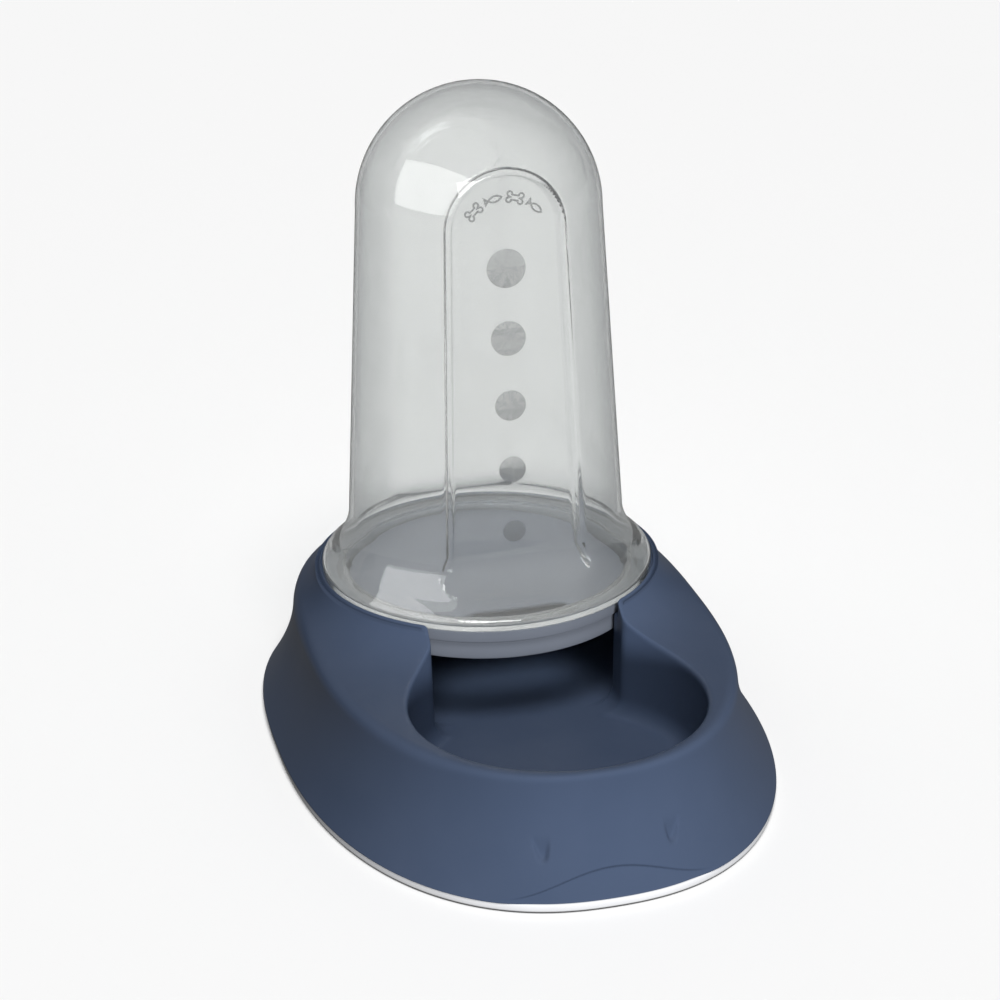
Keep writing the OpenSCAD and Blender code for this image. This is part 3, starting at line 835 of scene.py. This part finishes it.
def bellRings(w):
    s = hopperShape
    profile = bellProfile(w)
    domeZ = hopperHigh.z - s["domeRadius"]
    archTop = domeZ + s["panelRise"] + 3
    heights = np.unique(np.round(np.concatenate([
        profile[:, 1][profile[:, 1] < domeZ], np.linspace(seatZ + s["flareHeight"], domeZ - 6, 16),
        np.arange(domeZ - 5, archTop, 0.9), domeZ + (s["domeRadius"] - w) * np.sin(np.linspace(0.6, 1.53, 16))]), 3))
    heights = heights[(heights >= profile[0][1]) & (heights < profile[-1][1] - 0.02)]
    return [hopperRing(float(np.interp(z, profile[:, 1], profile[:, 0])), float(z), w, z > seatZ + s["panelStart"])
            for z in heights]


def buildHopper():
    s = hopperShape
    flangeZ = seatZ - s["flangeUnder"]
    insideZ = flangeZ + s["floorOverFlange"]
    neckIn = s["neckRadius"] - s["neckWall"]
    outside = roundedProfile([(neckIn, hopperLow.z), (s["neckRadius"], hopperLow.z), (s["neckRadius"], flangeZ),
                              (hopperHigh.x, flangeZ), (hopperHigh.x, seatZ + s["edgeRound"]),
                              tuple(bellProfile(0)[0])], 0.8, 4)
    inside = roundedProfile([(neckIn, hopperLow.z), (neckIn, insideZ), (hopperHigh.x - s["wall"], insideZ),
                             (hopperHigh.x - s["wall"], seatZ + s["edgeRound"] / 2),
                             tuple(bellProfile(s["wall"])[0])], 0.6, 3)
    bm = bmesh.new()
    for w, lower in ((0, outside), (s["wall"], inside)):
        rings = [hopperRing(r, z, w, False) for r, z in lower[:-1]] + bellRings(w)
        addGrid(bm, rings, poleEnd=True)
    return dress(meshObject("hopperShell", bm, weld=2e-6), "clearPlastic")


hopperShell = buildHopper()
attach(hopperShell, "hopper_bell")
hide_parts("hopper")
print("hopper:", len(hopperShell.data.polygons), "faces")


markShape = {"count": 5, "topRadius": 9, "lowRadius": 5.4, "topDrop": 16, "pitch": 32.6, "closing": 0.42,
             "thick": 0.35, "round": 0.12}


def buildLevelDots():
    s = markShape
    domeZ = hopperHigh.z - hopperShape["domeRadius"]
    heights = [domeZ - s["topDrop"] - i * (s["pitch"] - s["closing"] * (i - 1)) for i in range(s["count"])]
    places = pointsObject([(0, axisY - panelFace(z)[0], z) for z in heights])
    rim = s["topRadius"]
    profile = roundedProfile([(0.5, 0), (rim, 0), (rim, s["thick"]), (0.5, s["thick"])], s["round"], 3)
    dot = gridObject("dotShape", lathe(profile, 72), poleStart=True, poleEnd=True)
    tilt = math.radians(90) - math.atan(hopperShape["panelLean"])
    return runTree("levelDots", places, trees["shrinkingRow"], {
        "Piece": dot, "Last Size": s["lowRadius"] / s["topRadius"], "Steps": float(s["count"] - 1), "Tilt": tilt,
        "Material": materials["markInk"]})


levelDots = buildLevelDots()
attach(levelDots, "hopper_bell")
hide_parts("level_marks")
dress(frame["nodes"]["food_marks"], "markLine")
print("marks:", markShape["count"], "dots")


studio = {
    "floorColour": (0.86, 0.86, 0.86), "floorRough": 0.9, "floorSize": 9, "backCurve": 2.6, "backStart": 4.05,
    "worldColour": (1.0, 1.0, 1.0), "worldStrength": 0.17,
    "key": {"azimuth": -6, "elevation": 61, "angle": 28, "strength": 3.4},
    # a low light along the front, on the base and the collar only
    "frontFill": {"azimuth": 3, "elevation": 4, "angle": 9, "strength": 4.2},
    # the long window only shines on the clear bell, where it gives the soft white shape on the dome
    "window": {"place": (-1.25, -0.75, 0.95), "target": (0, 0.05, 0.25), "width": 3.0, "height": 1.2, "power": 40},
    # and a low one in front whitens the rolled edge
    "frontWindow": {"place": (-0.35, -1.5, 1.15), "target": (0, 0, 0.08), "width": 1.3, "height": 0.5, "power": 20},
    # dark cards behind the object, left and right, which only show as reflections
    "cards": {"across": 0.95, "behind": 1.0, "width": 1.4, "height": 0.42, "turn": 38,
              "colour": (0.01, 0.01, 0.01)},
}


def plainMaterial(name, colour, rough):
    material = bpy.data.materials.new(name)
    material.use_nodes = True
    shader = material.node_tree.nodes["Principled BSDF"]
    shader.inputs["Base Color"].default_value = (*colour, 1)
    shader.inputs["Roughness"].default_value = rough
    return material


def buildStudio():
    s = studio
    half, depth = s["floorSize"], s["backCurve"]
    bm = bmesh.new()
    rows = []
    for t in np.linspace(0, 1, 16):
        a = t * math.pi / 2
        rows.append((s["backStart"] + depth * math.sin(a), depth * (1 - math.cos(a))))
    rows = [(-half, 0)] + rows + [(s["backStart"] + depth, half)]
    lines = [[bm.verts.new((x, y, z)) for y, z in rows] for x in (-half, half)]
    for j in range(len(rows) - 1):
        bm.faces.new((lines[0][j], lines[1][j], lines[1][j + 1], lines[0][j + 1]))
    floor = meshObject("floor", bm)
    floor.data.materials.append(plainMaterial("paleFloor", s["floorColour"], s["floorRough"]))
    floor.visible_diffuse = floor.visible_glossy = False  # so the skirt's sides keep their shade
    world = bpy.data.worlds.new("studio")
    world.use_nodes = True
    sky = world.node_tree.nodes["Background"]
    sky.inputs["Color"].default_value = (*s["worldColour"], 1)
    sky.inputs["Strength"].default_value = s["worldStrength"]
    bpy.context.scene.world = world
    bpy.context.scene.view_settings.view_transform = "Standard"
    solid = [baseShell, baseRim, rubberFeet, funnelCollar, collarTabs]
    for name, lit in (("key", None), ("frontFill", solid)):
        k = s[name]
        turn, lift = math.radians(k["azimuth"]), math.radians(k["elevation"])
        toLamp = Vector((math.sin(turn) * math.cos(lift), -math.cos(turn) * math.cos(lift), math.sin(lift)))
        lamp = bpy.data.lights.new(name, "SUN")
        lamp.angle, lamp.energy = math.radians(k["angle"]), k["strength"]
        sun = addLamp(lamp, toLamp * 2, -toLamp, lit)
        sun.visible_glossy = sun.visible_transmission = False  # no round glare on the dome
    for side in (-1, 1):
        addCard(side)
    for name in ("window", "frontWindow"):
        w = s[name]
        lamp = bpy.data.lights.new(name, "AREA")
        lamp.shape = "RECTANGLE"
        lamp.size, lamp.size_y, lamp.energy = w["width"], w["height"], w["power"]
        addLamp(lamp, Vector(w["place"]), Vector(w["target"]) - Vector(w["place"]), [hopperShell, hopperLugs])


def addCard(side):
    c = studio["cards"]
    bm = bmesh.new()
    bmesh.ops.create_grid(bm, x_segments=2, y_segments=2, size=0.5)
    bm.transform(Matrix.Diagonal((c["width"], c["height"], 1, 1)))
    bm.transform(Matrix.Rotation(math.radians(90), 4, "X"))
    bm.transform(Matrix.Rotation(math.radians(-side * c["turn"]), 4, "Z"))
    bm.transform(Matrix.Translation((side * c["across"], c["behind"], c["height"] / 2 + 0.01)))
    card = meshObject("card", bm, smooth=False)
    card.data.materials.append(plainMaterial("blackCard", c["colour"], 1))
    card.visible_camera = card.visible_diffuse = False
    card.visible_shadow = card.visible_transmission = False
    return card


def addLamp(lamp, place, direction, lit=None):
    obj = bpy.data.objects.new(lamp.name, lamp)
    obj.location = place
    obj.rotation_euler = direction.to_track_quat("-Z", "Y").to_euler()
    bpy.context.scene.collection.objects.link(obj)
    if lit:
        pieces = bpy.data.collections.new(lamp.name + "Lights")
        for piece in lit:
            pieces.objects.link(piece)
        obj.light_linking.receiver_collection = pieces
    return obj


# aim is the point looked at: across the view from the hopper's axis, and its height
viewShape = {"azimuth": -14.5, "elevation": 23.34, "distance": 1255.2, "aimAcross": 7.05, "aimHeight": 100.7,
             "roll": 1.15, "lens": 93.6, "sensor": 36}


def buildCamera():
    s = viewShape
    a, e, roll = (math.radians(s[k]) for k in ("azimuth", "elevation", "roll"))
    back = Vector((math.sin(a) * math.cos(e), -math.cos(a) * math.cos(e), math.sin(e)))
    right = Vector((math.cos(a), math.sin(a), 0))
    up = back.cross(right)
    aim = Vector((0, axisY, s["aimHeight"])) + right * s["aimAcross"]
    place = (aim + back * s["distance"]) * mm
    across = right * math.cos(roll) - up * math.sin(roll)
    upward = right * math.sin(roll) + up * math.cos(roll)
    data = bpy.data.cameras.new("camera")
    data.lens, data.sensor_width = s["lens"], s["sensor"]
    data.clip_end = 60
    camera = bpy.data.objects.new("camera", data)
    camera.matrix_world = Matrix((across, upward, back)).transposed().to_4x4()
    camera.location = place
    bpy.context.scene.collection.objects.link(camera)
    bpy.context.scene.camera = camera


buildStudio()
buildCamera()
print("studio and camera ready")
